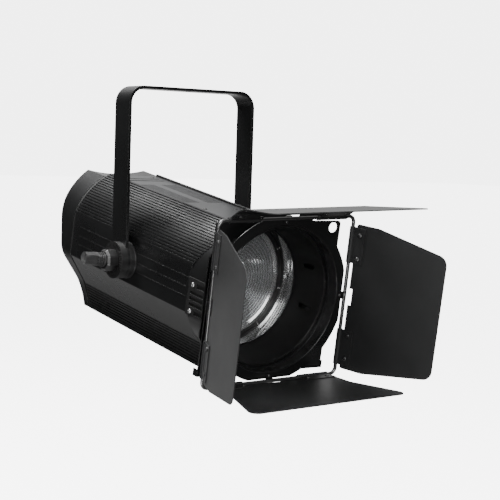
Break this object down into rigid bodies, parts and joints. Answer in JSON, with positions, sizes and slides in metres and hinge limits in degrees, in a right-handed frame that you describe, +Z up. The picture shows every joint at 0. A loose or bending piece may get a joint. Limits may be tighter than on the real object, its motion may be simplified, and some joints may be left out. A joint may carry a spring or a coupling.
{
  "type": "led fresnel spotlight",
  "caption": "LED Fresnel spotlight with a ribbed body in a bent strap yoke, a zoom lens in a short barrel and a four-leaf barn door on a rotating ring.",
  "frame": {"origin": "centre of the clamp bolt hole in the outer face of the yoke's top bar", "axes": "+Z up out of the clamp hole, -Y towards the light beam, +X to the right as seen from in front"},
  "size_m": [0.3969, 0.7121, 0.4899],
  "materials": {
    "black_paint": "satin powder coat",
    "ribbed_black": "satin powder coat",
    "deck_paint": "satin powder coat",
    "leaf_paint": "matt powder coat",
    "matt_black": "matt",
    "black_plastic": "moulded",
    "grey_metal": "satin",
    "bright_steel": "bright",
    "dark_steel": "blackened",
    "polished_tube": "polished",
    "bare_aluminium": "as extruded",
    "seal_rubber": "matt",
    "lens_glass": "clear",
    "clear_plastic": "clear",
    "led_yellow": "phosphor",
    "screen": "gloss",
    "green_board": "solder mask"
  },
  "bodies": {
    "yoke": {"yoke_bracket": "black_paint", "lock_discs": "black_plastic", "pivot_cap": "black_plastic"},
    "tilt_knob": {"knob_hub": "grey_metal", "knob_grip": "grey_metal"},
    "lens_unit": {"lens_carriage": "matt_black", "fresnel_lens": "lens_glass", "lens_ring": "matt_black", "lens_ring_screws": "bright_steel"},
    "screw": {"lead_screw": "bright_steel"},
    "fan": {"fan_rotor": "black_plastic"},
    "knob": {"menu_knob": "black_plastic"},
    "latch": {"plate_latch": "black_paint"},
    "door": {"door_ring": "black_paint", "rod_loop": "dark_steel", "rod_saddles": "black_paint", "saddle_screws": "dark_steel"},
    "leaf_top": {"top_leaf": "leaf_paint", "top_leaf_clamps": "leaf_paint", "top_leaf_screws": "dark_steel"},
    "leaf_bottom": {"bottom_leaf": "leaf_paint", "bottom_leaf_clamps": "leaf_paint", "bottom_leaf_screws": "dark_steel"},
    "leaf_left": {"left_leaf": "leaf_paint", "left_leaf_clamps": "leaf_paint", "left_leaf_screws": "dark_steel"},
    "leaf_right": {"right_leaf": "leaf_paint", "right_leaf_clamps": "leaf_paint", "right_leaf_screws": "dark_steel"},
    "head": {"pivot_drums": "black_plastic", "pivot_studs": "bright_steel", "left_side_panel": "ribbed_black", "right_side_panel": "ribbed_black", "top_deck": "deck_paint", "bottom_panel": "deck_paint", "front_housing": "black_paint", "front_flange": "black_paint", "vent_blocks": "black_plastic", "body_screws": "bright_steel", "rear_seal": "seal_rubber", "rear_cap": "black_paint", "rear_panel": "deck_paint", "display_window": "screen", "power_inlet": "black_plastic", "data_sockets": "grey_metal", "safety_eye": "bright_steel", "accessory_holder": "black_paint", "door_plate": "black_paint", "barrel": "matt_black", "lens_tube": "polished_tube", "bulkhead": "grey_metal", "guide_rods": "bright_steel", "zoom_motor": "black_plastic", "led_board": "led_yellow", "collimator": "clear_plastic", "heat_sink": "bare_aluminium", "fan_frame": "black_plastic", "fan_guard": "bright_steel", "power_supply": "bare_aluminium", "control_board": "green_board"}
  },
  "joints": [
    {"name": "head_tilt", "type": "hinge", "parent": "yoke", "child": "head", "pos_m": [0, 0, -0.295], "axis": [1, 0, 0], "range_deg": [-54, 80]},
    {"name": "tilt_knob_turn", "type": "hinge", "parent": "yoke", "child": "tilt_knob", "pos_m": [-0.15, 0, -0.295], "axis": [-1, 0, 0], "range_deg": [0, 300]},
    {"name": "zoom_slide", "type": "slide", "parent": "head", "child": "lens_unit", "axis": [0, 0.9857, 0.1685], "range_m": [-0.022, 0.1]},
    {"name": "lead_screw_turn", "type": "hinge", "parent": "head", "child": "screw", "pos_m": [0, -0.07869, -0.42816], "axis": [0, 0.9857, 0.1685], "range_deg": [-400, 1805]},
    {"name": "fan_spin", "type": "hinge", "parent": "head", "child": "fan", "pos_m": [0, 0.11598, -0.27315], "axis": [0, 0.9857, 0.1685], "continuous": true},
    {"name": "menu_knob_turn", "type": "hinge", "parent": "head", "child": "knob", "pos_m": [0, 0.22783, -0.24108], "axis": [0, 1, -0.0087], "continuous": true},
    {"name": "latch_turn", "type": "hinge", "parent": "head", "child": "latch", "pos_m": [0.06, -0.27927, -0.21024], "axis": [0, 0.9857, 0.1685], "range_deg": [0, 95]},
    {"name": "door_ring_turn", "type": "hinge", "parent": "head", "child": "door", "pos_m": [0, -0.27535, -0.34004], "axis": [0, 0.9857, 0.1685], "continuous": true},
    {"name": "leaf_top_hinge", "type": "hinge", "parent": "door", "child": "leaf_top", "pos_m": [-0.00376, -0.30293, -0.20835], "axis": [-0.9996, 0.0047, -0.0275], "range_deg": [-18, 57]},
    {"name": "leaf_bottom_hinge", "type": "hinge", "parent": "door", "child": "leaf_bottom", "pos_m": [0.00376, -0.25762, -0.47341], "axis": [0.9996, -0.0047, 0.0275], "range_deg": [-2.5, 100.5]},
    {"name": "leaf_left_hinge", "type": "hinge", "parent": "door", "child": "leaf_left", "pos_m": [-0.13445, -0.27964, -0.34458], "axis": [0.0279, 0.1684, -0.9853], "range_deg": [-65.3, 74.7]},
    {"name": "leaf_right_hinge", "type": "hinge", "parent": "door", "child": "leaf_right", "pos_m": [0.13445, -0.28091, -0.33718], "axis": [-0.0279, -0.1684, 0.9853], "range_deg": [-65.3, 74.7]}
  ],
  "couplings": [
    {"joint": "lead_screw_turn", "follows": "zoom_slide", "rad_per_m": 314.16}
  ]
}
